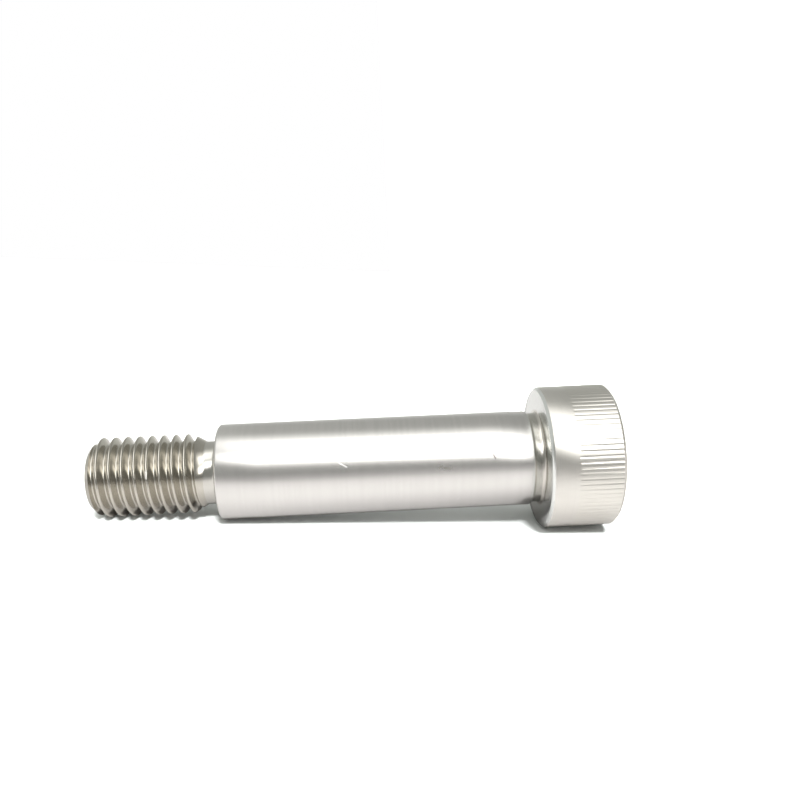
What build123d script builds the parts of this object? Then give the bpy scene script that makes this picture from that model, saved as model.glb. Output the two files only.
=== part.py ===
"""Socket head shoulder bolt, one turned and knurled piece of stainless steel.

It stands on the end of its head: the origin is the centre of the head's end face, +Z runs up the
axis through the ground shoulder to the thread. Lengths are millimetres.
"""

from build123d import *
import math
import os

# ---- driving dimensions ----

# Head: a cylinder with a straight knurl that leaves a plain band next to the bearing face.
head_diameter = 18.0
head_height = 9.0
plain_band = 3.3
end_chamfer = 0.4
bearing_edge_chamfer = 0.35

# Straight knurl: V grooves along the head, with lands of the full head diameter between them.
# Lands face the four axis directions.
knurl_grooves = 84
knurl_depth = 0.06
knurl_angle = 140.0

# Hexagon socket in the head's end, broached over a drilled hole with a pointed bottom.
socket_across_flats = 6.0
socket_depth = 4.9
socket_drill_point = 120.0
socket_mouth_play = 0.25
socket_mouth_angle = 90.0

# Shoulder, measured from the bearing face to its thread-side end.
shoulder_diameter = 12.0
shoulder_length = 40.25
shoulder_chamfer = 0.25

# Shallow groove that frees the corner between the shoulder and the bearing face.
head_groove_width = 1.5
head_groove_depth = 0.29
head_groove_corner = 0.35

# Right-hand metric thread with narrow flat roots. The tip is chamfered to below the root.
thread_diameter = 10.0
thread_pitch = 1.5
thread_root_diameter = 8.16
thread_root_width = 0.23
thread_flank_angle = 60.0
thread_length = 15.75
thread_chamfer = 1.1

# Relief between the shoulder and the thread: a neck, then a cone out to the thread.
relief_diameter = 7.91
relief_length = 3.45
relief_cone_angle = 30.0
relief_corner = 0.35

# The thread's groove starts beside the neck, where the bolt is thinner than the thread's root.
groove_start_height = 0.99
groove_start_angle = 180.0
turning_allowance = 0.1

# ---- places and radii, worked out from the dimensions above ----

bearing_z = head_height
shoulder_end_z = bearing_z + shoulder_length
thread_end_z = shoulder_end_z + thread_length

head_radius = head_diameter / 2
shoulder_radius = shoulder_diameter / 2
thread_radius = thread_diameter / 2
relief_neck_radius = relief_diameter / 2

groove_floor_radius = shoulder_radius - head_groove_depth
groove_ramp_z = bearing_z + head_groove_width - head_groove_depth
relief_end_z = shoulder_end_z + relief_length
relief_slope = math.tan(math.radians(relief_cone_angle))
relief_cone_z = relief_end_z - (thread_radius - relief_neck_radius) / relief_slope

knurl_length = head_height - plain_band
groove_half_width = 2 * knurl_depth * math.tan(math.radians(knurl_angle / 2))
first_groove_angle = 180 / knurl_grooves

socket_corner_radius = socket_across_flats / math.sqrt(3)
socket_mouth_radius = socket_corner_radius + socket_mouth_play
socket_mouth_slope = math.tan(math.radians(socket_mouth_angle / 2))
socket_flat_radius = socket_across_flats / 2
socket_point_height = socket_flat_radius / math.tan(math.radians(socket_drill_point / 2))

# The thread's groove is a narrow flat root with flanks up to a mouth outside the crests.
root_radius = thread_root_diameter / 2
mouth_radius = thread_radius + turning_allowance
half_root_width = thread_root_width / 2
half_mouth_width = half_root_width + (mouth_radius - root_radius) * math.tan(math.radians(thread_flank_angle / 2))
thread_groove_z = shoulder_end_z + groove_start_height
thread_groove_turns = math.ceil((thread_end_z - thread_groove_z) / thread_pitch) + 1


# The first turn of the thread's groove, swept along its helix.
with BuildPart() as groove_turn:
    with BuildLine() as helix:
        Helix(
            pitch=thread_pitch,
            height=thread_pitch,
            radius=root_radius,
            center=(0, 0, thread_groove_z),
        )
    with BuildSketch(Plane.XZ):
        Polygon(
            (root_radius, thread_groove_z - half_root_width),
            (mouth_radius, thread_groove_z - half_mouth_width),
            (mouth_radius, thread_groove_z + half_mouth_width),
            (root_radius, thread_groove_z + half_root_width),
            align=None,
        )
    sweep(path=helix.line, is_frenet=True)

# The threaded end: a rod with a turn of groove for each pitch, up to past its tip, then turned to
# the relief's cone and a chamfered tip.
with BuildPart() as threaded_end:
    with BuildSketch(Plane.XY.offset(shoulder_end_z)):
        Circle(thread_radius)
    extrude(amount=thread_length)
    with Locations([(0, 0, turn * thread_pitch) for turn in range(thread_groove_turns)]):
        add(groove_turn.part, rotation=(0, 0, groove_start_angle), mode=Mode.SUBTRACT)
    with BuildSketch(Plane.XZ):
        Polygon(
            (0, relief_cone_z),
            (relief_neck_radius, relief_cone_z),
            (mouth_radius, relief_end_z + turning_allowance / relief_slope),
            (mouth_radius, thread_end_z - thread_chamfer - turning_allowance),
            (thread_radius - thread_chamfer, thread_end_z),
            (0, thread_end_z),
            align=None,
        )
    revolve(axis=Axis.Z, mode=Mode.INTERSECT)

with BuildPart() as shoulder_bolt:
    # The turned blank: half of the bolt's section up to the end of the neck, spun round the axis.
    with BuildSketch(Plane.XZ) as section:
        with BuildLine():
            Polyline(
                (0, 0),
                (head_radius - end_chamfer, 0),
                (head_radius, end_chamfer),
                (head_radius, bearing_z - bearing_edge_chamfer),
                (head_radius - bearing_edge_chamfer, bearing_z),
                (groove_floor_radius, bearing_z),
                (groove_floor_radius, groove_ramp_z),
                (shoulder_radius, bearing_z + head_groove_width),
                (shoulder_radius, shoulder_end_z - shoulder_chamfer),
                (shoulder_radius - shoulder_chamfer, shoulder_end_z),
                (relief_neck_radius, shoulder_end_z),
                (relief_neck_radius, relief_cone_z),
                (0, relief_cone_z),
                (0, 0),
            )
        make_face()
        # Both inner corners are eased, close to the radius that the turning tool leaves.
        chamfer(section.vertices().sort_by_distance((groove_floor_radius, bearing_z))[0], head_groove_corner)
        chamfer(section.vertices().sort_by_distance((relief_neck_radius, shoulder_end_z))[0], relief_corner)
    revolve(axis=Axis.Z)

    # The threaded end goes on the neck.
    add(threaded_end.part)

    # Straight knurl, from the head's end up to the plain band.
    with BuildSketch(Plane.XY):
        with PolarLocations(head_radius, knurl_grooves, start_angle=first_groove_angle):
            Polygon(
                (-knurl_depth, 0),
                (knurl_depth, -groove_half_width),
                (knurl_depth, groove_half_width),
                align=None,
            )
    extrude(amount=knurl_length, mode=Mode.SUBTRACT)

    # Hexagon socket, its drilled bottom and its countersunk mouth.
    with BuildSketch(Plane.XY):
        RegularPolygon(radius=socket_corner_radius, side_count=6)
    extrude(amount=socket_depth, mode=Mode.SUBTRACT)
    with BuildSketch(Plane.XZ):
        Polygon(
            (0, socket_depth),
            (socket_flat_radius, socket_depth),
            (0, socket_depth + socket_point_height),
            align=None,
        )
    revolve(axis=Axis.Z, mode=Mode.SUBTRACT)
    with BuildSketch(Plane.XZ):
        Polygon(
            (0, 0),
            (socket_mouth_radius, 0),
            (0, socket_mouth_radius / socket_mouth_slope),
            align=None,
        )
    revolve(axis=Axis.Z, mode=Mode.SUBTRACT)

shoulder_bolt.part.label = "shoulder_bolt"

os.makedirs("parts", exist_ok=True)
export_step(shoulder_bolt.part, "parts/shoulder_bolt.step")
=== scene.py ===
"""Socket head shoulder bolt in stainless steel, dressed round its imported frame.

The bolt is one closed mesh: a knurled head with a hexagon socket, a ground shoulder between two
turned reliefs, and a rolled thread. It stands on the end of its head, with +Z along its axis.
Lengths are metres and angles degrees. An angle round the bolt is measured from +X towards -Y,
which is the side that faces the camera.
"""
import logging
import math
from collections.abc import Callable
from dataclasses import dataclass, field
from enum import Enum

import bmesh
import bpy
from mathutils import Matrix, Vector


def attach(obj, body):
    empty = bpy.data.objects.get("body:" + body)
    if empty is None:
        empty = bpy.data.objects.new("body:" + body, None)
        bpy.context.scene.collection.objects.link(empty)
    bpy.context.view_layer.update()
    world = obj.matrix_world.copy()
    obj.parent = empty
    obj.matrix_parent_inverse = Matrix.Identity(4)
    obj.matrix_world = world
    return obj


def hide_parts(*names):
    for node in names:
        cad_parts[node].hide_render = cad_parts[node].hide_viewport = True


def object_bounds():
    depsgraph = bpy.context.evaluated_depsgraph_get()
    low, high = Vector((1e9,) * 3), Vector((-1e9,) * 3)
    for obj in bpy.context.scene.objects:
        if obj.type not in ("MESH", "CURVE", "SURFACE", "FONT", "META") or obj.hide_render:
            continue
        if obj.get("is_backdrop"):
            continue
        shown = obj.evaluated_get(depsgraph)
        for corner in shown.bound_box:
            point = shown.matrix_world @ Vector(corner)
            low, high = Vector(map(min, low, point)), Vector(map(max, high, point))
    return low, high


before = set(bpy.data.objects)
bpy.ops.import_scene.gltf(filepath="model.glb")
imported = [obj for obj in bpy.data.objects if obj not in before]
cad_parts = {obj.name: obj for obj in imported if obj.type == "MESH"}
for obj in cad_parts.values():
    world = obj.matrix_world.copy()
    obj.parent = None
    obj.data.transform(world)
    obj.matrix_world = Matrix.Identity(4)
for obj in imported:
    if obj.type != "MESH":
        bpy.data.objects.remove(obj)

MM = 0.001
NEAR = 1e-6  # Places that are closer than this count as one where a mesh is picked or joined.
FINE = 1e-7  # The same for the finished bolt and for the limits between its finishes.

Point = tuple[float, float]
Colour = tuple[float, float, float]
Value = bpy.types.NodeSocket | float | tuple[float, ...]

log = logging.getLogger("shoulder_bolt")


class Region(Enum):
    """The surfaces of the bolt that carry a finish of their own, by material index."""

    KNURL = 0
    HEAD = 1
    FACE = 2
    GROOVE = 3
    GROUND = 4
    NECK = 5
    THREAD = 6
    SOCKET = 7


# ---- edit-mode helpers ----


def only_select(piece: bpy.types.Object) -> None:
    """Makes one object the active and only selected one.

    Args:
        piece: The object.
    """
    bpy.ops.object.select_all(action="DESELECT")
    piece.select_set(True)
    bpy.context.view_layer.objects.active = piece


def arc(centre: Point, radius: float, start: float, end: float, steps: int) -> list[Point]:
    """Gives the points of an arc in the (radius, height) half-plane.

    Args:
        centre: Middle of the arc.
        radius: Radius of the arc.
        start: First angle in degrees, from the radial direction towards +Z.
        end: Last angle in degrees.
        steps: Number of chords.

    Returns:
        The points from start to end, both included.
    """
    angles = [math.radians(start + (end - start) * step / steps) for step in range(steps + 1)]
    return [(centre[0] + radius * math.cos(a), centre[1] + radius * math.sin(a)) for a in angles]


def ease(corners: list[Point], size: float) -> list[Point]:
    """Eases each inner corner of a line by a short straight.

    Args:
        corners: Points of the line in the (radius, height) half-plane.
        size: How far from its corner each short straight starts and ends.

    Returns:
        The points of the eased line.
    """
    line = [Vector(corner) for corner in corners]
    eased = [line[0]]
    for before, corner, after in zip(line, line[1:], line[2:]):
        eased += [corner + (end - corner).normalized() * size for end in (before, after)]
    return [tuple(point) for point in (*eased, line[-1])]


def turn(name: str, profile: list[Point], segments: int, closed: bool = True) -> bpy.types.Object:
    """Turns a shape ring by ring: a circle is extruded along Z and scaled to each new radius.

    Args:
        name: Name of the new object.
        profile: (radius, height) of each ring, in order.
        segments: Number of vertices in a ring.
        closed: Whether the first and last rings are filled with a face.

    Returns:
        The new object, at the origin.
    """
    radius, height = profile[0]
    fill = "NGON" if closed else "NOTHING"
    bpy.ops.mesh.primitive_circle_add(vertices=segments, radius=radius, fill_type=fill)
    piece = bpy.context.object
    piece.name = name
    bpy.ops.object.mode_set(mode="EDIT")
    bpy.ops.mesh.select_all(action="SELECT")
    bpy.ops.transform.translate(value=(0, 0, height))
    bpy.ops.mesh.select_mode(type="EDGE")
    for next_radius, next_height in profile[1:]:
        rise = {"value": (0, 0, next_height - height)}
        bpy.ops.mesh.extrude_edges_move(TRANSFORM_OT_translate=rise)
        scale = next_radius / radius
        bpy.ops.transform.resize(value=(scale, scale, 1), center_override=(0, 0, next_height))
        radius, height = next_radius, next_height
    if closed:
        bpy.ops.mesh.edge_face_add()
    bpy.ops.mesh.select_all(action="SELECT")
    bpy.ops.mesh.normals_make_consistent(inside=False)
    bpy.ops.object.mode_set(mode="OBJECT")
    return piece


def select_where(piece: bpy.types.Object, test: Callable[[Vector], bool], kind: str = "verts") -> int:
    """Selects the vertices or faces of the edited mesh whose place passes a test.

    Args:
        piece: Object in edit mode.
        test: Takes a vertex's place, or a face's middle.
        kind: "verts" or "faces".

    Returns:
        How many were selected.
    """
    bpy.ops.mesh.select_all(action="DESELECT")
    bpy.ops.mesh.select_mode(type="VERT" if kind == "verts" else "FACE")
    mesh = bmesh.from_edit_mesh(piece.data)
    found = 0
    for item in getattr(mesh, kind):
        place = item.co if kind == "verts" else item.calc_center_median()
        if test(place):
            item.select = True
            found += 1
    mesh.select_flush_mode()
    bmesh.update_edit_mesh(piece.data)
    return found


def join(pieces: list[bpy.types.Object], name: str) -> bpy.types.Object:
    """Joins several meshes into the first one and renames it.

    Args:
        pieces: The objects to join.
        name: Name of the joined object.

    Returns:
        The joined object.
    """
    only_select(pieces[0])
    for piece in pieces[1:]:
        piece.select_set(True)
    bpy.ops.object.join()
    pieces[0].name = name
    return pieces[0]


def combine(target: bpy.types.Object, tool: bpy.types.Object, operation: str) -> None:
    """Applies a Boolean modifier to one mesh with another, and deletes the other.

    Args:
        target: The mesh that changes.
        tool: The mesh that it is cut or kept by.
        operation: "INTERSECT" or "DIFFERENCE".
    """
    only_select(target)
    modifier = target.modifiers.new("combine", "BOOLEAN")
    modifier.operation = operation
    modifier.solver = "EXACT"
    modifier.object = tool
    bpy.ops.object.modifier_apply(modifier=modifier.name)
    bpy.data.objects.remove(tool)


# ---- the bolt ----


@dataclass
class KnurledHead:
    """The head: a cylinder with a straight knurl that leaves a plain band at the bearing face.

    Attributes:
        edge_ease: Size of the eased edges.
        groove_runout: Length over which each groove fades out at the band.
        steps_per_groove: Ring vertices for each groove and land.
        flank_steps: How many of them each flank of a groove spans.
        flank_curve: Power that bends the flanks, 1 for straight ones.
        inner_radius: Inner edge of the head's part of the bearing face, where the shank joins.
        middle_radius: Radius of the flat face that fills the middle of the head's end.
    """

    radius: float
    height: float = 9.0 * MM
    plain_band: float = 3.3 * MM
    end_chamfer: float = 0.4 * MM
    bearing_chamfer: float = 0.35 * MM
    edge_ease: float = 0.05 * MM
    grooves: int = 84
    groove_depth: float = 0.045 * MM
    groove_runout: float = 0.18 * MM
    steps_per_groove: int = 12
    flank_steps: int = 3
    flank_curve: float = 1.15
    inner_radius: float = 6.6 * MM
    middle_radius: float = 4.6 * MM

    @property
    def segments(self) -> int:
        """Number of vertices in each ring."""
        return self.grooves * self.steps_per_groove

    @property
    def knurl_end(self) -> float:
        """Height at which the grooves stop."""
        return self.height - self.plain_band

    def profile(self) -> list[Point]:
        """Lays out the rings.

        Returns:
            The rings from the middle of the end face, round the outside, to the bearing face.
        """
        outer, chamfer = self.radius, self.end_chamfer
        end = ease([(self.middle_radius, 0.0), (outer - chamfer, 0.0), (outer, chamfer)], self.edge_ease)
        band = [
            (outer, self.knurl_end + self.edge_ease),
            (outer, self.height - self.bearing_chamfer),
            (outer - self.bearing_chamfer, self.height),
            (self.inner_radius, self.height),
        ]
        return [
            *end[:-1],
            (outer - self.groove_depth, chamfer - self.groove_depth),
            end[-1],
            (outer, chamfer + self.edge_ease),
            (outer, self.knurl_end - self.groove_runout),
            (outer, self.knurl_end),
            *ease(band, self.edge_ease),
        ]

    def press_grooves(self, piece: bpy.types.Object) -> None:
        """Presses the knurl's grooves into the turned head.

        Args:
            piece: The turned head, in edit mode.
        """
        low, high = self.end_chamfer - NEAR, self.knurl_end - self.groove_runout + NEAR
        levels = sorted({self.level(step) for step in range(self.steps_per_groove)} - {0.0})
        for level in levels:
            found = select_where(piece, lambda p: low < p.z < high and self.level_at(p) == level)
            scale = 1 - self.groove_depth * level / self.radius
            bpy.ops.transform.resize(value=(scale, scale, 1), center_override=(0, 0, 0))
            log.debug("knurl level %.2f on %d vertices", level, found)

    def level(self, step: int) -> float:
        """Gives the depth share of a ring vertex.

        Args:
            step: Number of the vertex, counted from the middle of a land.

        Returns:
            0 on a land and 1 at the bottom of a groove.
        """
        off_bottom = abs(step - self.steps_per_groove / 2)
        share = max(0.0, 1.0 - off_bottom / self.flank_steps)
        return round(share**self.flank_curve, 3)

    def level_at(self, place: Vector) -> float:
        """Gives the depth share at a place.

        Args:
            place: Place of a ring vertex.

        Returns:
            The share that level() gives for its number round the ring.
        """
        turn_share = math.atan2(place.y, place.x) / (2 * math.pi)
        return self.level(round(turn_share * self.segments) % self.steps_per_groove)

    def build(self) -> bpy.types.Object:
        """Makes the head.

        Returns:
            An open shell that ends on its bearing face.
        """
        piece = turn("head", self.profile(), self.segments, closed=False)
        only_select(piece)
        bpy.ops.object.mode_set(mode="EDIT")
        self.press_grooves(piece)
        select_where(piece, lambda p: p.z < NEAR and math.hypot(p.x, p.y) < self.middle_radius + NEAR)
        bpy.ops.mesh.edge_face_add()
        bpy.ops.object.mode_set(mode="OBJECT")
        return piece


@dataclass
class Shank:
    """The ground shoulder with the turned relief at each end, up to the thread's neck.

    Attributes:
        start: Height of the bearing face.
        groove_round: Radius of the corner between the groove and the bearing face.
        face_radius: Outer edge of the shank's part of the bearing face.
        neck_round: Radius of the corner between the neck and the shoulder's end.
        neck_stop: Length of the neck that belongs to the shank.
        stretches: Lengths that the shoulder is divided into.
        corner_steps: Chords of each round corner.
    """

    start: float = 9.0 * MM
    radius: float = 6.0 * MM
    length: float = 40.25 * MM
    chamfer: float = 0.25 * MM
    edge_ease: float = 0.05 * MM
    groove_width: float = 1.5 * MM
    groove_depth: float = 0.29 * MM
    groove_round: float = 0.4 * MM
    face_radius: float = 6.35 * MM
    neck_radius: float = 3.955 * MM
    neck_round: float = 0.6 * MM
    neck_stop: float = 1.1 * MM
    stretches: int = 8
    corner_steps: int = 6
    segments: int = 168

    @property
    def end(self) -> float:
        """Height of the shoulder's thread-side end."""
        return self.start + self.length

    def profile(self) -> list[Point]:
        """Lays out the rings.

        Returns:
            The rings from the bearing face, over the shoulder, to the neck.
        """
        floor = self.radius - self.groove_depth
        corner = (floor + self.groove_round, self.start + self.groove_round)
        neck = (self.neck_radius + self.neck_round, self.end + self.neck_round)
        groove_end = (self.radius, self.start + self.groove_width)
        chamfer_start = (self.radius, self.end - self.chamfer)
        chamfer_end = (self.radius - self.chamfer, self.end)
        ramp_start = (floor, groove_end[1] - self.groove_depth)
        groove_side = ease([(floor, corner[1]), ramp_start, groove_end, chamfer_start], self.edge_ease)
        thread_side = ease([groove_end, chamfer_start, chamfer_end, (neck[0], self.end)], self.edge_ease)
        low, high = groove_side[-2][1], thread_side[1][1]
        rises = [low + (high - low) * step / self.stretches for step in range(1, self.stretches)]
        return [
            (self.face_radius, self.start),
            *arc(corner, self.groove_round, 270, 180, self.corner_steps),
            *groove_side[1:-1],
            *[(self.radius, rise) for rise in rises],
            *thread_side[1:-1],
            *arc(neck, self.neck_round, 270, 180, self.corner_steps),
            (self.neck_radius, self.end + self.neck_stop),
        ]

    def build(self) -> bpy.types.Object:
        """Makes the shank as an open tube."""
        return turn("shank", self.profile(), self.segments, closed=False)


@dataclass
class RolledThread:
    """A rolled right-hand thread with round roots, cut off by a cone at the neck and a chamfer.

    Attributes:
        flank_angle: Angle of each flank from the radial direction.
        crest_at: Height of a crest on the +X side.
        crest_share: Half of a crest's width as a share of the pitch.
        crest_drops: How far below the crest the two points of its rounding lie.
        root_rises: How far above the root the two points of its rounding lie.
        root_share: Place of the first of them, as a share of half the root's width.
        corner_reach: How far the roundings' other points lie from the flank's ends, along the axis.
        flank_shares: Points on each flank, as shares of the depth.
        relief_start: Height at which the relief's cone starts.
        tip_radius: Radius of the flat tip.
        clearance: How far the blank stands out of the crests.
        overrun: How far the rod runs on past both ends of the thread.
        turn_steps: Steps in a turn of the helix.
    """

    start: float
    end: float
    neck_radius: float
    segments: int
    pitch: float = 1.5 * MM
    crest_radius: float = 4.975 * MM
    root_radius: float = 4.08 * MM
    flank_angle: float = 30.0
    crest_at: float = 53.24 * MM
    crest_share: float = 0.068
    crest_drops: tuple[float, float] = (0.07 * MM, 0.015 * MM)
    root_rises: tuple[float, float] = (0.02 * MM, 0.09 * MM)
    root_share: float = 0.55
    corner_reach: float = 0.03 * MM
    flank_shares: tuple[float, ...] = (0.3, 0.55, 0.8)
    relief_start: float = 50.89 * MM
    relief_angle: float = 30.0
    tip_radius: float = 3.9 * MM
    clearance: float = 0.075 * MM
    overrun: float = 2.0 * MM
    turn_steps: int = 120

    def pitch_profile(self) -> list[Point]:
        """Lays out one pitch of the thread.

        Returns:
            Points from root to root, as (radius, height above the first root).
        """
        root, crest = self.root_radius, self.crest_radius
        depth = crest - root
        flank = depth * math.tan(math.radians(self.flank_angle))
        crest_half = self.pitch * self.crest_share
        low, high = self.pitch / 2 - flank - crest_half, self.pitch / 2 - crest_half
        half: list[Point] = [
            (root, 0.0),
            (root + self.root_rises[0], low * self.root_share),
            (root + self.root_rises[1], low + self.corner_reach),
            *[(root + depth * share, low + (high - low) * share) for share in self.flank_shares],
            (crest - self.crest_drops[0], high - self.corner_reach),
            (crest - self.crest_drops[1], high + self.corner_reach),
            (crest, self.pitch / 2),
        ]
        return half + [(radius, self.pitch - height) for radius, height in reversed(half[:-1])]

    def strand(self, base: float) -> bpy.types.Object:
        """Draws one pitch of the thread's outline, vertex by vertex.

        Args:
            base: Height of its first root.

        Returns:
            The object, a line of edges in the XZ plane.
        """
        points = self.pitch_profile()
        bpy.ops.mesh.primitive_plane_add(size=1)
        piece = bpy.context.object
        piece.name = "thread_rod"
        bpy.ops.object.mode_set(mode="EDIT")
        bpy.ops.mesh.delete(type="ONLY_FACE")
        mesh = bmesh.from_edit_mesh(piece.data)
        for extra in list(mesh.verts)[1:]:
            mesh.verts.remove(extra)
        mesh.verts.ensure_lookup_table()
        mesh.verts[0].co = (points[0][0], 0, base)
        bmesh.update_edit_mesh(piece.data)
        bpy.ops.mesh.select_mode(type="VERT")
        bpy.ops.mesh.select_all(action="SELECT")
        for (radius, height), (next_radius, next_height) in zip(points, points[1:]):
            step = (next_radius - radius, 0, next_height - height)
            bpy.ops.mesh.extrude_vertices_move(TRANSFORM_OT_translate={"value": step})
        bpy.ops.object.mode_set(mode="OBJECT")
        return piece

    def rod(self) -> bpy.types.Object:
        """Makes a threaded rod, longer than the thread at both ends.

        Returns:
            The rod, closed.
        """
        below = math.ceil((self.crest_at - self.start + self.overrun) / self.pitch) + 1
        turns = below + math.ceil((self.end - self.crest_at + self.overrun) / self.pitch) + 1
        piece = self.strand(self.crest_at - self.pitch / 2 - below * self.pitch)
        screw = piece.modifiers.new("thread", "SCREW")
        screw.axis = "Z"
        screw.angle = 2 * math.pi
        screw.screw_offset = self.pitch
        screw.iterations = turns
        screw.steps = screw.render_steps = self.turn_steps
        screw.use_merge_vertices = True
        screw.merge_threshold = NEAR
        bpy.ops.object.modifier_apply(modifier=screw.name)
        bpy.ops.object.mode_set(mode="EDIT")
        bpy.ops.mesh.select_all(action="SELECT")
        bpy.ops.mesh.remove_doubles(threshold=NEAR)
        for height, clear_inner in ((self.start - self.overrun, True), (self.end + self.overrun, False)):
            bpy.ops.mesh.select_all(action="SELECT")
            bpy.ops.mesh.bisect(
                plane_co=(0, 0, height),
                plane_no=(0, 0, 1),
                use_fill=True,
                clear_inner=clear_inner,
                clear_outer=not clear_inner,
                threshold=FINE / 10,
            )
        bpy.ops.mesh.select_all(action="SELECT")
        bpy.ops.mesh.normals_make_consistent(inside=False)
        bpy.ops.object.mode_set(mode="OBJECT")
        return piece

    def blank(self) -> bpy.types.Object:
        """Makes the turned blank that the thread is cut off by.

        Returns:
            The blank, closed, with the relief's cone and the tip's chamfer.
        """
        outer = self.crest_radius + self.clearance
        slope = math.tan(math.radians(self.relief_angle))
        cone_end = self.relief_start + (outer - self.neck_radius) / slope
        profile = [
            (self.neck_radius, self.start),
            (self.neck_radius, self.relief_start),
            (outer, cone_end),
            (outer, self.end - (outer - self.tip_radius)),
            (self.tip_radius, self.end),
        ]
        return turn("thread", profile, self.segments)

    def build(self) -> bpy.types.Object:
        """Makes the thread.

        Returns:
            The thread, open where it meets the shank's neck.
        """
        piece = self.blank()
        combine(piece, self.rod(), "INTERSECT")
        only_select(piece)
        bpy.ops.object.mode_set(mode="EDIT")
        select_where(piece, lambda p: p.z < self.start + FINE, kind="faces")
        bpy.ops.mesh.delete(type="FACE")
        bpy.ops.object.mode_set(mode="OBJECT")
        return piece


@dataclass
class HexSocket:
    """A broached hexagon socket with a countersunk mouth and a drilled, pointed bottom.

    Attributes:
        drill_point: Full angle of the pointed bottom.
        drill_tip: Radius of the point.
        mouth_play: How far the countersunk mouth clears the hexagon's corners.
        drill_overlap: How far the drill's shape starts above the hexagon's bottom.
        overcut: How far the hexagon's and the mouth's shapes start outside the head.
        corner_turn: Turn that brings two corners of the hexagon onto X.
    """

    across_flats: float = 6.0 * MM
    depth: float = 4.9 * MM
    drill_point: float = 120.0
    drill_tip: float = 0.02 * MM
    mouth_play: float = 0.25 * MM
    drill_overlap: float = 0.5 * MM
    overcut: float = 1.0 * MM
    corner_turn: float = 90.0
    segments: int = 168

    @property
    def corner_radius(self) -> float:
        """Radius of the hexagon's corners."""
        return self.across_flats / math.sqrt(3)

    @property
    def mouth_radius(self) -> float:
        """Radius of the countersunk mouth at the head's end."""
        return self.corner_radius + self.mouth_play

    def cut(self, piece: bpy.types.Object) -> None:
        """Cuts the socket into the head's end face.

        Args:
            piece: The closed bolt.
        """
        hexagon = turn("hexagon", [(self.corner_radius, -self.overcut), (self.corner_radius, self.depth)], 6)
        only_select(hexagon)
        bpy.ops.object.mode_set(mode="EDIT")
        bpy.ops.mesh.select_all(action="SELECT")
        turned = math.radians(self.corner_turn)
        bpy.ops.transform.rotate(value=turned, orient_axis="Z", center_override=(0, 0, 0))
        bpy.ops.object.mode_set(mode="OBJECT")
        combine(piece, hexagon, "DIFFERENCE")
        half = self.across_flats / 2
        point = self.depth + half / math.tan(math.radians(self.drill_point / 2))
        bottom = [(half, self.depth - self.drill_overlap), (half, self.depth), (self.drill_tip, point)]
        combine(piece, turn("drill", bottom, self.segments), "DIFFERENCE")
        cone = [(self.mouth_radius + self.overcut, -self.overcut), (half / 2, self.mouth_radius - half / 2)]
        combine(piece, turn("countersink", cone, self.segments), "DIFFERENCE")


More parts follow.
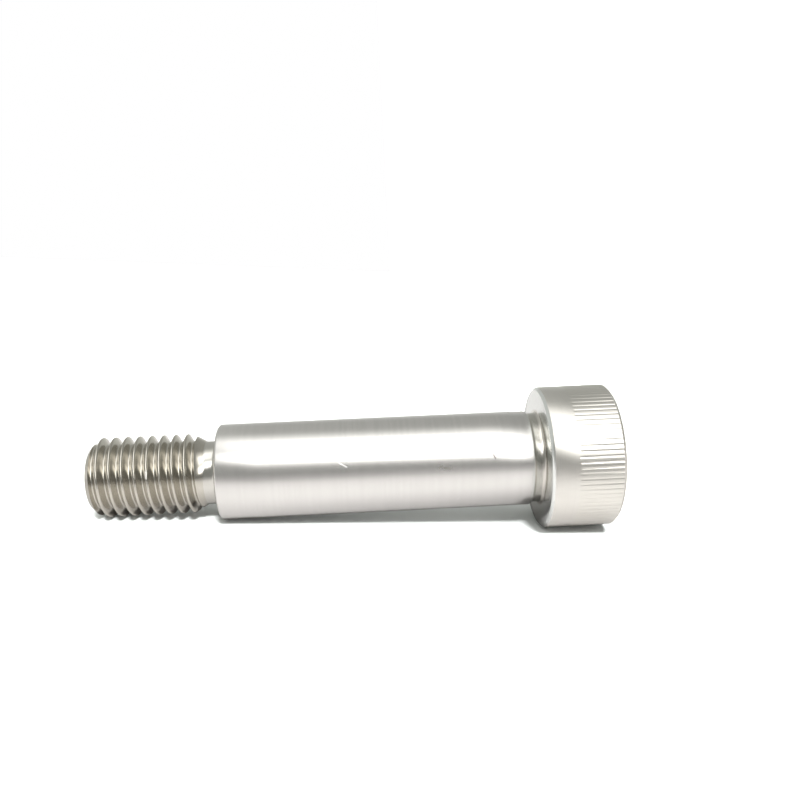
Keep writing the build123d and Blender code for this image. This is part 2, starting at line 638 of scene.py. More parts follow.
@dataclass
class ShoulderBolt:
    """The whole bolt: builds its one mesh, sorts its faces by finish and dresses it.

    Attributes:
        top: Height of the thread's end.
        seam_gap: Height of the band of faces that joins the neck to the thread.
        neck_finish: How far the neck's finish runs on past that band.
        smooth_angle: Edges flatter than this are shaded smooth.
    """

    top: float
    head: KnurledHead
    shank: Shank = field(default_factory=Shank)
    socket: HexSocket = field(default_factory=HexSocket)
    seam_gap: float = 0.25 * MM
    neck_finish: float = 0.6 * MM
    smooth_angle: float = 32.0

    @property
    def neck_top(self) -> float:
        """Height at which the shank's part of the neck ends."""
        return self.shank.end + self.shank.neck_stop

    def bridge(self, piece: bpy.types.Object, low: Point, high: Point) -> None:
        """Bridges two open rings of the joined mesh.

        Args:
            piece: The joined mesh.
            low: (radius, height) of the first ring.
            high: (radius, height) of the second ring.
        """

        def on_ring(place: Vector) -> bool:
            """Whether a vertex lies on either ring."""
            radius = math.hypot(place.x, place.y)
            return any(abs(radius - r) < NEAR and abs(place.z - h) < NEAR for r, h in (low, high))

        only_select(piece)
        bpy.ops.object.mode_set(mode="EDIT")
        found = select_where(piece, on_ring)
        bpy.ops.mesh.select_mode(type="EDGE")
        bpy.ops.mesh.bridge_edge_loops()
        bpy.ops.object.mode_set(mode="OBJECT")
        log.info("bridged %d vertices at height %.4f", found, high[1])

    def region_of(self, place: Vector) -> Region:
        """Tells which finish a face carries.

        Args:
            place: Middle of the face.

        Returns:
            The first region of the table that holds it, or the thread.
        """
        radius = math.hypot(place.x, place.y)
        limits = (
            (FINE, self.head.radius, Region.HEAD),
            (self.head.height - FINE, self.socket.mouth_radius, Region.SOCKET),
            (self.head.knurl_end, math.inf, Region.KNURL),
            (self.head.height - self.head.bearing_chamfer, math.inf, Region.HEAD),
            (self.head.height + FINE, math.inf, Region.FACE),
            (self.shank.start + self.shank.groove_width - FINE, math.inf, Region.GROOVE),
            (self.shank.end - FINE, math.inf, Region.GROUND),
            (self.neck_top + self.seam_gap + self.neck_finish, math.inf, Region.NECK),
        )
        for height, reach, region in limits:
            if place.z < height and radius < reach:
                return region
        return Region.THREAD

    def build(self) -> bpy.types.Object:
        """Makes the mesh of the whole bolt.

        Returns:
            The closed mesh, at the origin.
        """
        neck = self.shank.neck_radius
        thread_start = self.neck_top + self.seam_gap
        thread = RolledThread(
            start=thread_start, end=self.top, neck_radius=neck, segments=self.shank.segments
        )
        bolt = join([self.head.build(), self.shank.build(), thread.build()], "shoulder_bolt_body")
        self.bridge(
            bolt, (self.head.inner_radius, self.head.height), (self.shank.face_radius, self.shank.start)
        )
        self.bridge(bolt, (neck, self.neck_top), (neck, thread_start))
        self.socket.cut(bolt)
        only_select(bolt)
        bpy.ops.object.mode_set(mode="EDIT")
        bpy.ops.mesh.select_all(action="SELECT")
        bpy.ops.mesh.remove_doubles(threshold=FINE)
        bpy.ops.mesh.normals_make_consistent(inside=False)
        bpy.ops.object.mode_set(mode="OBJECT")
        bpy.ops.object.shade_smooth_by_angle(angle=math.radians(self.smooth_angle))
        return bolt

    def dress(self, bolt: bpy.types.Object, finishes: dict[Region, bpy.types.Material]) -> None:
        """Gives each face the material of its region.

        Args:
            bolt: The bolt's mesh.
            finishes: The material of each region.
        """
        bolt.data.materials.clear()
        for region in Region:
            bolt.data.materials.append(finishes[region])
        for face in bolt.data.polygons:
            face.material_index = self.region_of(face.center).value


# ---- finishes ----


def with_alpha(colour: Colour, gain: float = 1.0) -> tuple[float, ...]:
    """Gives a colour times a gain with an alpha of 1, as nodes take it."""
    return tuple(part * gain for part in colour) + (1.0,)


@dataclass
class NodeSheet:
    """A node tree with short calls to add, set and link its nodes."""

    tree: bpy.types.NodeTree

    def add(self, kind: str, **values: object) -> bpy.types.Node:
        """Adds a node and sets its attributes.

        Args:
            kind: Blender's name for the kind of node.
            **values: The node's attributes by name.

        Returns:
            The new node.
        """
        node = self.tree.nodes.new(kind)
        for name, value in values.items():
            setattr(node, name, value)
        return node

    def link(self, source: bpy.types.NodeSocket, target: bpy.types.NodeSocket) -> None:
        """Joins an output to an input."""
        self.tree.links.new(source, target)

    def feed(self, target: bpy.types.NodeSocket, value: Value) -> None:
        """Sets an input to a plain value, or links it to an output.

        Args:
            target: The input.
            value: The output or the plain value.
        """
        if isinstance(value, bpy.types.NodeSocket):
            self.link(value, target)
        else:
            target.default_value = value

    def fill(self, node: bpy.types.Node, values: dict[str, Value]) -> None:
        """Feeds several inputs of a node by their names."""
        for key, value in values.items():
            self.feed(node.inputs[key], value)

    def math(self, operation: str, *values: Value, clamp: bool = False) -> bpy.types.NodeSocket:
        """Adds a Math node.

        Args:
            operation: What it does, in Blender's words.
            *values: Its inputs in order.
            clamp: Whether the result is kept between 0 and 1.

        Returns:
            The output with the result.
        """
        node = self.add("ShaderNodeMath", operation=operation, use_clamp=clamp)
        for target, value in zip(node.inputs, values):
            self.feed(target, value)
        return node.outputs[0]

    def ramp(
        self, value: Value, low: Value, high: Value, out_low: Value = 0.0, out_high: Value = 1.0
    ) -> bpy.types.NodeSocket:
        """Maps a value smoothly from low..high to out_low..out_high.

        Args:
            value: The value to map.
            low: Value that gives out_low.
            high: Value that gives out_high.
            out_low: Result at low and below.
            out_high: Result at high and above.

        Returns:
            The output with the mapped value.
        """
        node = self.add("ShaderNodeMapRange", interpolation_type="SMOOTHSTEP")
        for target, item in zip(node.inputs, (value, low, high, out_low, out_high)):
            self.feed(target, item)
        return node.outputs["Result"]

    def mix(self, factor: Value, first: Value, second: Value) -> bpy.types.NodeSocket:
        """Mixes two colours.

        Args:
            factor: Share of the second colour.
            first: Colour where the factor is 0.
            second: Colour where the factor is 1.

        Returns:
            The output with the mixed colour.
        """
        node = self.add("ShaderNodeMix", data_type="RGBA")
        self.feed(node.inputs["Factor"], factor)
        self.feed(node.inputs[6], first)
        self.feed(node.inputs[7], second)
        return node.outputs[2]

    def angle_round(self, parts: bpy.types.Node) -> bpy.types.NodeSocket:
        """Gives the angle round the bolt in radians, from a Separate XYZ node."""
        return self.math("ARCTAN2", self.math("MULTIPLY", parts.outputs["Y"], -1.0), parts.outputs["X"])


def new_group(
    name: str, inputs: dict[str, float], outputs: list[str]
) -> tuple[bpy.types.NodeTree, NodeSheet]:
    """Starts a shader node group with number inputs and number outputs.

    Args:
        name: Name of the group.
        inputs: Its inputs with their default values.
        outputs: Names of its outputs.

    Returns:
        The group and a sheet to add its nodes with.
    """
    tree = bpy.data.node_groups.new(name, "ShaderNodeTree")
    for key, value in inputs.items():
        socket = tree.interface.new_socket(key, in_out="INPUT", socket_type="NodeSocketFloat")
        socket.default_value = value
    for key in outputs:
        tree.interface.new_socket(key, in_out="OUTPUT", socket_type="NodeSocketFloat")
    return tree, NodeSheet(tree)


@dataclass(frozen=True)
class Noise:
    """A noise pattern on Object coordinates.

    Attributes:
        detail: Octaves of finer noise in it.
        roughness: Strength of each octave against the one before.
        scale: Features per metre, or 1 where the place is scaled before.
    """

    detail: float
    roughness: float
    scale: float = 1.0

    def over(self, sheet: NodeSheet, place: bpy.types.NodeSocket) -> bpy.types.NodeSocket:
        """Adds the pattern.

        Args:
            sheet: Sheet to add the node to.
            place: Output with the place.

        Returns:
            The output with the pattern's value.
        """
        node = sheet.add("ShaderNodeTexNoise")
        values = {"Vector": place, "Scale": self.scale, "Detail": self.detail, "Roughness": self.roughness}
        sheet.fill(node, values)
        return node.outputs["Fac"]


@dataclass(frozen=True)
class Mark:
    """A small scratch or spot on a round surface.

    Attributes:
        angle: Its place round the bolt.
        height: Its place along the bolt.
        radius: Radius of the surface.
        length: Full length.
        width: Full width.
        tilt: Angle of its length from the direction round the bolt.
        colour: Colour of the marked metal.
        roughness: Roughness of the marked metal.
    """

    angle: float
    height: float
    radius: float
    length: float
    width: float
    tilt: float
    colour: Colour
    roughness: float

    def mask(self, sheet: NodeSheet, group: bpy.types.NodeTree) -> bpy.types.NodeSocket:
        """Adds the mark's mask.

        Args:
            sheet: Sheet of the material.
            group: The shared group that lays a mark on a surface.

        Returns:
            The output with the mask.
        """
        spot = sheet.add("ShaderNodeGroup", node_tree=group)
        values = {
            "Angle": math.radians(self.angle),
            "Height": self.height,
            "Radius": self.radius,
            "Length": self.length,
            "Width": self.width,
            "Tilt": math.radians(self.tilt),
        }
        sheet.fill(spot, values)
        return spot.outputs["Mask"]


@dataclass(frozen=True)
class Steel:
    """A bare stainless steel surface: its colour, polish and the marks that its making leaves.

    Attributes:
        colour: Reflected colour.
        roughness: Mean roughness.
        roughness_spread: How far the roughness strays either way in clouds.
        lines: Strength of the fine lines round the axis, from 0 to 1.
        line_scale: Fine lines per metre along the axis.
        streaks: Strength of the faint streaks along the axis.
        stain: Share of brownish stain in the clouds.
        bump: Depth of the fine lines in metres.
        marks: Scratches and spots.
        line_gain: Brightness of lines and streaks against the rest.
        stain_colour: Colour of the stain.
        cloud_limits: Values of the clouds that give the least and the most roughness.
    """

    name: str
    colour: Colour
    roughness: float
    roughness_spread: float = 0.04
    lines: float = 0.3
    line_scale: float = 5000.0
    streaks: float = 0.2
    stain: float = 0.0
    bump: float = 0.6e-6
    marks: tuple[Mark, ...] = ()
    line_gain: float = 0.9
    stain_colour: Colour = (0.28, 0.25, 0.20)
    cloud_limits: tuple[float, float] = (0.2, 0.8)

    def material(self, groups: "Effects") -> bpy.types.Material:
        """Builds the node material.

        Args:
            groups: The shared effects.

        Returns:
            The new material.
        """
        made = bpy.data.materials.new(self.name)
        made.use_nodes = True
        sheet = NodeSheet(made.node_tree)
        shader = made.node_tree.nodes["Principled BSDF"]
        grain = sheet.add("ShaderNodeGroup", node_tree=groups.grain)
        grain.inputs["Line scale"].default_value = self.line_scale
        cloud, lines, streaks = (grain.outputs[key] for key in ("Cloud", "Lines", "Streaks"))
        colour = with_alpha(self.colour)
        dark = with_alpha(self.colour, self.line_gain)
        for pattern, share, under in (
            (lines, self.lines, dark),
            (streaks, self.streaks, dark),
            (cloud, self.stain, with_alpha(self.stain_colour)),
        ):
            colour = sheet.mix(sheet.math("MULTIPLY", pattern, share), colour, under)
        low, high = self.roughness - self.roughness_spread, self.roughness + self.roughness_spread
        rough = sheet.ramp(cloud, *self.cloud_limits, low, high)
        for mark in self.marks:
            mask = mark.mask(sheet, groups.mark)
            colour = sheet.mix(mask, colour, with_alpha(mark.colour))
            rough = sheet.ramp(mask, 0.0, 1.0, rough, mark.roughness)
        bump = sheet.add("ShaderNodeBump")
        sheet.fill(bump, {"Strength": 1.0, "Distance": self.bump, "Height": lines})
        finish = {"Base Color": colour, "Metallic": 1.0, "Roughness": rough, "Normal": bump.outputs["Normal"]}
        sheet.fill(shader, finish)
        return made


@dataclass
class Effects:
    """The shader node groups that several finishes share.

    Attributes:
        grain: Turning lines, streaks and clouds.
        mark: The mask of one mark.
        line_stretch: Scale of the lines round the axis against their scale along it.
        line_noise: Noise that the lines are drawn from.
        line_limits: Values of that noise between which a line comes up.
        streak_scale: Scale of the streaks on each axis.
        streak_noise: Noise that the streaks are drawn from.
        streak_limits: Values of that noise between which a streak comes up.
        cloud_noise: Noise of the clouds.
        mark_limits: Where a mark's soft edge starts and ends, as shares of its full size.
    """

    grain: bpy.types.NodeTree = field(init=False)
    mark: bpy.types.NodeTree = field(init=False)
    line_stretch: float = 0.02
    line_noise: Noise = Noise(detail=3.0, roughness=0.6)
    line_limits: tuple[float, float] = (0.3, 0.7)
    streak_scale: tuple[float, float, float] = (2600.0, 2600.0, 110.0)
    streak_noise: Noise = Noise(detail=2.0, roughness=0.55)
    streak_limits: tuple[float, float] = (0.35, 0.75)
    cloud_noise: Noise = Noise(detail=4.0, roughness=0.6, scale=900.0)
    mark_limits: tuple[float, float] = (0.3, 0.5)

    def __post_init__(self) -> None:
        """Builds the groups."""
        self.grain = self.make_grain()
        self.mark = self.make_mark()

    def make_grain(self) -> bpy.types.NodeTree:
        """Makes the group of turning lines, streaks along the axis and clouds.

        Returns:
            The group, with each pattern as an output.
        """
        tree, sheet = new_group("grain", {"Line scale": Steel.line_scale}, ["Lines", "Streaks", "Cloud"])
        scale = sheet.add("NodeGroupInput").outputs["Line scale"]
        place = sheet.add("ShaderNodeTexCoord").outputs["Object"]
        spread = sheet.add("ShaderNodeCombineXYZ")
        stretched = sheet.math("MULTIPLY", scale, self.line_stretch)
        sheet.fill(spread, {"X": stretched, "Y": stretched, "Z": scale})
        drawn = sheet.add("ShaderNodeVectorMath", operation="MULTIPLY")
        sheet.link(place, drawn.inputs[0])
        sheet.link(spread.outputs["Vector"], drawn.inputs[1])
        along = sheet.add("ShaderNodeMapping")
        sheet.fill(along, {"Scale": self.streak_scale, "Vector": place})
        lines = self.line_noise.over(sheet, drawn.outputs["Vector"])
        streaks = self.streak_noise.over(sheet, along.outputs["Vector"])
        patterns = {
            "Lines": sheet.ramp(lines, *self.line_limits),
            "Streaks": sheet.ramp(streaks, *self.streak_limits),
            "Cloud": self.cloud_noise.over(sheet, place),
        }
        sheet.fill(sheet.add("NodeGroupOutput"), patterns)
        return tree

    def make_mark(self) -> bpy.types.NodeTree:
        """Makes the group of one mark: a soft-edged bar laid on a round surface.

        Returns:
            The group, with the mask as its output.
        """
        keys = ("Angle", "Height", "Radius", "Length", "Width", "Tilt")
        tree, sheet = new_group("mark", dict.fromkeys(keys, 0.0), ["Mask"])
        entry = sheet.add("NodeGroupInput").outputs
        parts = sheet.add("ShaderNodeSeparateXYZ")
        sheet.link(sheet.add("ShaderNodeTexCoord").outputs["Object"], parts.inputs[0])
        off = sheet.math("SUBTRACT", sheet.angle_round(parts), entry["Angle"])
        across = sheet.math("MULTIPLY", off, entry["Radius"])
        along = sheet.math("SUBTRACT", parts.outputs["Z"], entry["Height"])
        cosine, sine = sheet.math("COSINE", entry["Tilt"]), sheet.math("SINE", entry["Tilt"])
        rise = sheet.math("MULTIPLY", along, sine)
        length = sheet.math("MULTIPLY_ADD", across, cosine, rise)
        drop = sheet.math("MULTIPLY", across, sine)
        width = sheet.math("SUBTRACT", sheet.math("MULTIPLY", along, cosine), drop)
        masks = []
        for value, limit in ((length, entry["Length"]), (width, entry["Width"])):
            share = sheet.math("DIVIDE", sheet.math("ABSOLUTE", value), limit)
            masks.append(sheet.ramp(share, *self.mark_limits, 1.0, 0.0))
        sheet.fill(sheet.add("NodeGroupOutput"), {"Mask": sheet.math("MULTIPLY", *masks)})
        return tree


SHOULDER_MARKS = (
    Mark(88.9, 33.75 * MM, Shank.radius, 1.4 * MM, 0.2 * MM, -59.0, (0.9, 0.89, 0.88), 0.45),
    Mark(98.2, 21.2 * MM, Shank.radius, 0.4 * MM, 1.0 * MM, 8.0, (0.49, 0.47, 0.45), 0.32),
    Mark(96.6, 22.0 * MM, Shank.radius, 0.35 * MM, 0.7 * MM, -20.0, (0.55, 0.53, 0.51), 0.30),
    Mark(87.3, 15.4 * MM, Shank.radius, 0.85 * MM, 0.2 * MM, -25.0, (0.28, 0.26, 0.25), 0.4),
)
THREAD_MARKS = (
    Mark(89.8, 57.42 * MM, RolledThread.crest_radius, 1.2 * MM, 0.36 * MM, 0.0, (0.98, 0.96, 0.92), 0.45),
)

STEELS: dict[Region, Steel] = {
    Region.KNURL: Steel("knurled_steel", (0.67, 0.655, 0.615), 0.31, 0.01, lines=0.1, streaks=0.15),
    Region.HEAD: Steel("head_steel", (0.67, 0.655, 0.62), 0.31, 0.02, lines=0.2, streaks=0.1),
    Region.FACE: Steel("faced_steel", (0.74, 0.76, 0.745), 0.22, 0.01, lines=0.2, streaks=0.1),
    Region.GROOVE: Steel("turned_steel", (0.58, 0.56, 0.52), 0.16, 0.02, lines=0.5, line_scale=9000.0),
    Region.GROUND: Steel(
        "ground_steel",
        (0.67, 0.66, 0.645),
        0.27,
        0.004,
        lines=0.4,
        line_scale=2600.0,
        streaks=0.0,
        bump=0.02e-6,
        marks=SHOULDER_MARKS,
    ),
    Region.NECK: Steel("neck_steel", (0.575, 0.565, 0.53), 0.15, 0.02, lines=0.3, line_scale=9000.0),
    Region.THREAD: Steel(
        "rolled_steel", (0.55, 0.53, 0.48), 0.18, 0.03, lines=0.1, stain=0.3, marks=THREAD_MARKS
    ),
    Region.SOCKET: Steel("broached_steel", (0.50, 0.485, 0.465), 0.34, lines=0.2, streaks=0.6),
}


# ---- camera, stage and light ----


@dataclass(frozen=True)
class Camera:
    """The camera, turned so that the bolt lies across the picture with its head to the right."""

    place: tuple[float, float, float] = (0.0, -101.06 * MM, 31.1 * MM)
    aim: tuple[float, float, float] = (8.12 * MM, 0.0, 26.24 * MM)
    up: tuple[float, float, float] = (0.9957, -0.0821, -0.0438)
    lens: float = 35.45
    sensor: float = 36.0
    near_limit: float = 1 * MM
    far_limit: float = 10.0

    def set_up(self) -> None:
        """Adds the camera and makes it the scene's."""
        back = (Vector(self.place) - Vector(self.aim)).normalized()
        right = Vector(self.up).cross(back).normalized()
        rows = (right, back.cross(right), back)
        data = bpy.data.cameras.new("camera")
        data.lens, data.sensor_width = self.lens, self.sensor
        data.clip_start, data.clip_end = self.near_limit, self.far_limit
        camera = bpy.data.objects.new("camera", data)
        camera.matrix_world = Matrix.Translation(self.place) @ Matrix(rows).transposed().to_4x4()
        bpy.context.scene.collection.objects.link(camera)
        bpy.context.scene.camera = camera


@dataclass(frozen=True)
class Board:
    """A white plane of the stage.

    Attributes:
        camera_gain: Whiteness that it shows to the camera.
        reflected: Whiteness of the painted reflection that the metal mirrors in front of the bolt.
        painted_far_shade: Painted shade: the darker whiteness that the metal mirrors farther in front.
        painted_close_shade: Painted shade: the darker whiteness that the metal mirrors close under the bolt.
        painted_back_shade: Painted shade: the darker whiteness that the metal mirrors behind the bolt.
        fade: Distances in front between which the first gives way to the farther painted shade.
        close_fade: Distances in front between which the painted shade close under the bolt gives way to the
            first.
        back_fade: Distances in front, below nought, between which the painted shade behind the bolt ends.
        skew: How much farther in front a place counts for each unit of its height.
        skew_height: Height that the distances hold for.
        plain: Whiteness that other surfaces are lit by.
        tint: Colour that the metal mirrors.
        seen_tint: Colour that it shows to the camera.
        one_sided: Whether it is clear from behind.
    """

    name: str
    centre: tuple[float, float, float]
    normal: tuple[float, float, float]
    camera_gain: float
    size: float = 1.2
    # What the metal mirrors in the board is a painted reflection; the three values after the first paint
    # shade into it.
    reflected: float = 0.85
    painted_far_shade: float = 0.85
    painted_close_shade: float = 0.85
    painted_back_shade: float = 0.85
    fade: tuple[float, float] = (5 * MM, 67 * MM)
    close_fade: tuple[float, float] = (-1.5 * MM, 11 * MM)
    back_fade: tuple[float, float] = (-7 * MM, -0.5 * MM)
    skew: float = 0.06
    skew_height: float = 35 * MM
    plain: float = 0.85
    tint: Colour = (1.0, 0.98, 0.97)
    seen_tint: Colour = (0.96, 1.0, 0.985)
    one_sided: bool = False

    def towards_front(self) -> Vector:
        """Direction in the board that leads away from the bolt on the camera's side."""
        across = Vector((0.0, 0.0, 1.0)).cross(Vector(self.normal).normalized())
        return across if across.y < 0 else -across

    def set_up(self) -> bpy.types.Object:
        """Adds the plane with its material.

        Returns:
            The plane, with its place in its mesh.
        """
        bpy.ops.object.select_all(action="DESELECT")
        bpy.ops.mesh.primitive_plane_add(size=self.size)
        board = bpy.context.object
        board.name = self.name
        turned = Vector(self.normal).to_track_quat("Z", "Y").to_matrix().to_4x4()
        board.matrix_world = Matrix.Translation(self.centre) @ turned
        bpy.ops.object.transform_apply(location=True, rotation=True, scale=True)
        board.data.materials.append(self.material())
        board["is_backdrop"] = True
        return board

    def mirrored(self, sheet: NodeSheet) -> bpy.types.NodeSocket:
        """Works out the colour that the metal mirrors.

        Args:
            sheet: Sheet of the board's material.

        Returns:
            The output with the painted reflection, graded by the distance in front of the bolt: painted shade
            behind it, close under it and farther in front.
        """
        distance = sheet.add("ShaderNodeVectorMath", operation="DOT_PRODUCT")
        sheet.link(sheet.add("ShaderNodeTexCoord").outputs["Object"], distance.inputs[0])
        distance.inputs[1].default_value = self.towards_front() + Vector((0.0, 0.0, self.skew))
        place = sheet.math("SUBTRACT", distance.outputs["Value"], self.skew * self.skew_height)
        # Painted shade behind the bolt gives way to painted shade close under it, then to the painted
        # reflection, then to painted shade farther in front.
        colour: Value = with_alpha(self.tint, self.painted_back_shade)
        for whiteness, limits in (
            (self.painted_close_shade, self.back_fade),
            (self.reflected, self.close_fade),
            (self.painted_far_shade, self.fade),
        ):
            colour = sheet.mix(sheet.ramp(place, *limits), colour, with_alpha(self.tint, whiteness))
        return colour

    def material(self) -> bpy.types.Material:
        """Makes a matt white that differs for the camera, for the metal's mirror and for other light.

        Returns:
            The new material.
        """
        made = bpy.data.materials.new(self.name + "_white")
        made.use_nodes = True
        sheet = NodeSheet(made.node_tree)
        nodes = made.node_tree.nodes
        nodes.remove(nodes["Principled BSDF"])
        path = sheet.add("ShaderNodeLightPath").outputs
        plain = with_alpha((self.plain, self.plain, self.plain))
        # Glossy rays see the painted reflection with its painted shade; other rays see the plain white.
        glossy = sheet.mix(path["Is Glossy Ray"], plain, self.mirrored(sheet))
        seen = with_alpha(self.seen_tint, self.camera_gain)
        matt = sheet.add("ShaderNodeBsdfDiffuse")
        sheet.link(sheet.mix(path["Is Camera Ray"], glossy, seen), matt.inputs["Color"])
        result = matt.outputs["BSDF"]
        if self.one_sided:
            clear = sheet.add("ShaderNodeBsdfTransparent")
            blend = sheet.add("ShaderNodeMixShader")
            sheet.link(sheet.add("ShaderNodeNewGeometry").outputs["Backfacing"], blend.inputs[0])
            sheet.link(result, blend.inputs[1])
            sheet.link(clear.outputs["BSDF"], blend.inputs[2])
            result = blend.outputs["Shader"]
        sheet.link(result, nodes["Material Output"].inputs["Surface"])
        return made


@dataclass(frozen=True)
class Lamp:
    """A long lamp beside the bolt: the angles of its edges and how bright it is."""

    start: float
    end: float
    light: float


@dataclass(frozen=True)
class Studio:
    """The light: a dim room with a tall soft glow and two long lamps in it, round the bolt's axis.

    Attributes:
        room: Brightness of the room beside the glow.
        room_back: Brightness behind the bolt.
        room_front: Brightness past the glow, where the camera stands.
        back_edge: Angles between which the room changes behind the bolt.
        front_edge: How far either side of the glow's end it changes in front.
        rise: How much brighter the room gets from level to straight up, as a share.
        level_share: Its brightness at level, as a share.
        glow: The glow that both lamps stand in.
        glow_edge: Softness of its first edge in degrees.
        lamps: The two lamps.
        lamp_edge: Softness of their edges.
        lean: Degrees that all this turns by from level to straight up.
        reach: Highest slope above and below level that the lamps reach.
        reach_edge: Softness of that limit, as a share of straight up.
        head_gain: How much brighter they are towards the head's end.
        room_tint: Colour of the room.
        lamp_tint: Colour of the lamps.
    """

    room: float = 0.55
    room_back: float = 0.9
    room_front: float = 0.33
    back_edge: tuple[float, float] = (-74.0, -46.0)
    front_edge: float = 8.0
    rise: float = 0.4
    level_share: float = 0.94
    glow: Lamp = Lamp(7.0, 81.0, 0.75)
    glow_edge: float = 11.0
    lamps: tuple[Lamp, Lamp] = (Lamp(18.0, 47.0, 1.0), Lamp(57.0, 78.0, 2.6))
    lamp_edge: float = 3.0
    lean: float = 29.0
    reach: float = 32.0
    reach_edge: float = 0.08
    head_gain: float = 0.8
    room_tint: Colour = (0.99, 1.0, 0.95)
    lamp_tint: Colour = (1.0, 0.99, 0.965)

    @staticmethod
    def band(
        sheet: NodeSheet, value: Value, limits: tuple[float, float], soft: tuple[float, float]
    ) -> bpy.types.NodeSocket:
        """Gives 1 between two limits and 0 outside them.

        Args:
            sheet: Sheet to add the nodes to.
            value: Output to test.
            limits: First and last value of the band.
            soft: Softness of its two edges.

        Returns:
            The output with the band's mask.
        """
        rise = sheet.ramp(value, limits[0] - soft[0], limits[0] + soft[0])
        fall = sheet.ramp(value, limits[1] - soft[1], limits[1] + soft[1], 1.0, 0.0)
        return sheet.math("MULTIPLY", rise, fall)

    def room_light(self, sheet: NodeSheet, angle: Value, z: Value) -> bpy.types.NodeSocket:
        """Works out how bright the room is.

        Args:
            sheet: Sheet to add the nodes to.
            angle: Output with the angle round the bolt, leaned.
            z: Output with the direction's part along the bolt.

        Returns:
            The output with the brightness.
        """
        back = sheet.ramp(angle, *self.back_edge, self.room_back, self.room)
        low, high = self.glow.end - self.front_edge, self.glow.end + self.front_edge
        front = sheet.ramp(angle, low, high, self.room, self.room_front)
        back = sheet.math("MULTIPLY", back, sheet.math("MULTIPLY_ADD", z, self.rise, self.level_share))
        return sheet.math("MULTIPLY", back, sheet.math("DIVIDE", front, self.room))

    def lamp_light(self, sheet: NodeSheet, angle: Value, z: Value) -> bpy.types.NodeSocket:
        """Works out how bright the glow and the lamps are.

        Args:
            sheet: Sheet to add the nodes to.
            angle: Output with the angle round the bolt, leaned.
            z: Output with the direction's part along the bolt.

        Returns:
            The output with the brightness.
        """
        glow = self.band(sheet, angle, (self.glow.start, self.glow.end), (self.glow_edge, self.lamp_edge))
        lit = sheet.math("MULTIPLY", glow, self.glow.light)
        for lamp in self.lamps:
            mask = self.band(sheet, angle, (lamp.start, lamp.end), (self.lamp_edge, self.lamp_edge))
            lit = sheet.math("MULTIPLY_ADD", mask, lamp.light, lit)
        reach = math.sin(math.radians(self.reach))
        level = self.band(sheet, z, (-reach, reach), (self.reach_edge, self.reach_edge))
        gain = sheet.math("MULTIPLY_ADD", z, -self.head_gain, 1.0)
        return sheet.math("MULTIPLY", lit, sheet.math("MULTIPLY", level, gain))

    def light(
        self, sheet: NodeSheet, direction: bpy.types.NodeSocket
    ) -> tuple[bpy.types.NodeSocket, bpy.types.NodeSocket]:
        """Works out how bright the studio is in a direction.

        Args:
            sheet: Sheet to add the nodes to.
            direction: Output with the direction.

        Returns:
            The outputs with the brightness and with the share of the lamps in it.
        """
        parts = sheet.add("ShaderNodeSeparateXYZ")
        sheet.link(direction, parts.inputs[0])
        z = parts.outputs["Z"]
        leaned = sheet.math("MULTIPLY", z, self.lean)
        angle = sheet.math("MULTIPLY_ADD", sheet.angle_round(parts), math.degrees(1.0), leaned)
        room, lit = self.room_light(sheet, angle, z), self.lamp_light(sheet, angle, z)
        return sheet.math("ADD", lit, room), sheet.math("MULTIPLY", lit, 1.0, clamp=True)

    def set_up(self) -> None:
        """Builds the world."""
        world = bpy.data.worlds.new("studio")
        bpy.context.scene.world = world
        world.use_nodes = True
        sheet = NodeSheet(world.node_tree)
        nodes = world.node_tree.nodes
        light, share = self.light(sheet, sheet.add("ShaderNodeTexCoord").outputs["Generated"])
        tint = sheet.mix(share, with_alpha(self.room_tint), with_alpha(self.lamp_tint))
        lit = sheet.add("ShaderNodeBackground")
        sheet.fill(lit, {"Color": tint, "Strength": light})
        white = sheet.add("ShaderNodeBackground")
        sheet.fill(white, {"Color": (1.0, 1.0, 1.0, 1.0), "Strength": 1.0})
        blend = sheet.add("ShaderNodeMixShader")
        path = sheet.add("ShaderNodeLightPath")
        sheet.link(path.outputs["Is Camera Ray"], blend.inputs[0])
        sheet.link(lit.outputs[0], blend.inputs[1])
        sheet.link(white.outputs[0], blend.inputs[2])
        sheet.link(blend.outputs[0], nodes["World Output"].inputs["Surface"])


@dataclass(frozen=True)
class KeyLight:
    """A distant lamp that lays the bolt's shadow on the table and stays out of its reflections.

    Attributes:
        angle: Where it stands round the bolt, in degrees.
        slope: Its height over level, as a share.
        strength: Light that it gives, in watts for each square metre.
        spread: Angle that it fills, in degrees, which softens the shadow's edge.
    """

    angle: float = 62.0
    slope: float = -0.14
    strength: float = 5.8
    spread: float = 8.0

    def set_up(self) -> None:
        """Adds the lamp."""
        turn_angle = math.radians(self.angle)
        towards = Vector((math.cos(turn_angle), -math.sin(turn_angle), self.slope))
        data = bpy.data.lights.new("key", "SUN")
        data.energy = self.strength
        data.angle = math.radians(self.spread)
        lamp = bpy.data.objects.new("key", data)
        lamp.rotation_euler = towards.to_track_quat("Z", "Y").to_euler()
        lamp.visible_glossy = False
        bpy.context.scene.collection.objects.link(lamp)


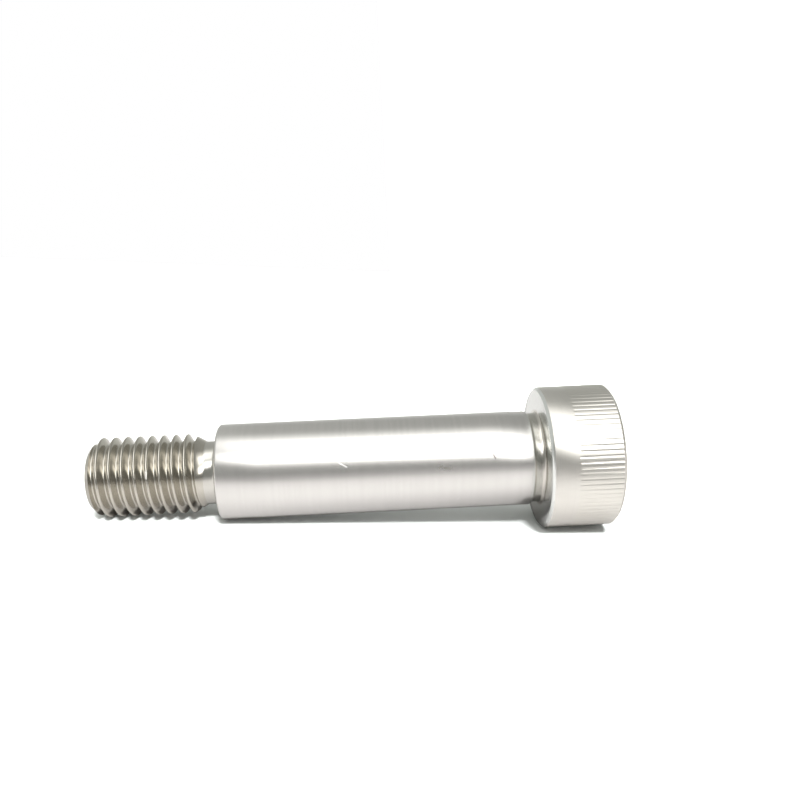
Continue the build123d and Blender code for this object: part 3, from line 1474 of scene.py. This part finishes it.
@dataclass(frozen=True)
class Stage:
    """The two boards: one that the bolt stands on, and one that its side touches.

    Attributes:
        table_lean: Where the table's normal stands round the bolt.
        crest_radius: Radius at which the table passes the thread's last full crest.
        crest_end: Height of that crest.
        floor_gain: Whiteness that the floor shows to the camera, past 1 so that it clips.
    """

    table_lean: float = 17.0
    crest_radius: float = 5.0 * MM
    crest_end: float = 63.9 * MM
    floor_gain: float = 3.0

    def floor(self, height: float) -> Board:
        """Gives the board that the bolt stands on."""
        return Board("floor", (0.0, 0.0, height), (0.0, 0.0, 1.0), self.floor_gain)

    def table(self, head_radius: float, shank_start: float) -> Board:
        """Gives the board that the head's rim and the thread's end touch, beside the standing bolt.

        Args:
            head_radius: Radius of the head.
            shank_start: Height of the bearing face.

        Returns:
            The board, tangent to both.
        """
        lean = math.radians(self.table_lean)
        slope = (head_radius - self.crest_radius) / (self.crest_end - shank_start)
        return Board(
            "table",
            (-math.cos(lean) * head_radius, math.sin(lean) * head_radius, shank_start),
            (math.cos(lean), -math.sin(lean), -slope),
            camera_gain=0.72,
            # The table's mirror in the metal is a painted reflection, with painted shade close under the
            # bolt, behind it and farther in front.
            reflected=0.58,
            painted_far_shade=0.225,
            painted_close_shade=0.30,
            painted_back_shade=0.41,
            one_sided=True,
        )

    def set_up(self, height: float, head_radius: float, shank_start: float) -> None:
        """Adds both boards.

        Args:
            height: Height of the floor.
            head_radius: Radius of the head.
            shank_start: Height of the bearing face.
        """
        floor = self.floor(height).set_up()
        floor.visible_glossy = False
        floor.visible_shadow = False
        table = self.table(head_radius, shank_start).set_up()
        log.info("stage: %s, %s", floor.name, table.name)


def main() -> None:
    """Builds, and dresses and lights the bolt."""
    cad_low, cad_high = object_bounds()
    head_radius = (cad_high.x - cad_low.x) / 2
    maker = ShoulderBolt(top=cad_high.z, head=KnurledHead(radius=head_radius))
    Camera().set_up()
    bolt = maker.build()
    effects = Effects()
    maker.dress(bolt, {region: steel.material(effects) for region, steel in STEELS.items()})
    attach(bolt, "root")
    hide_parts("shoulder_bolt")
    log.info("%s: %d faces", bolt.name, len(bolt.data.polygons))
    Stage().set_up(cad_low.z, head_radius, maker.shank.start)
    Studio().set_up()
    KeyLight().set_up()
    bpy.context.scene.view_settings.view_transform = "Standard"


if __name__ == "__main__":
    logging.basicConfig(level=logging.INFO)
    main()
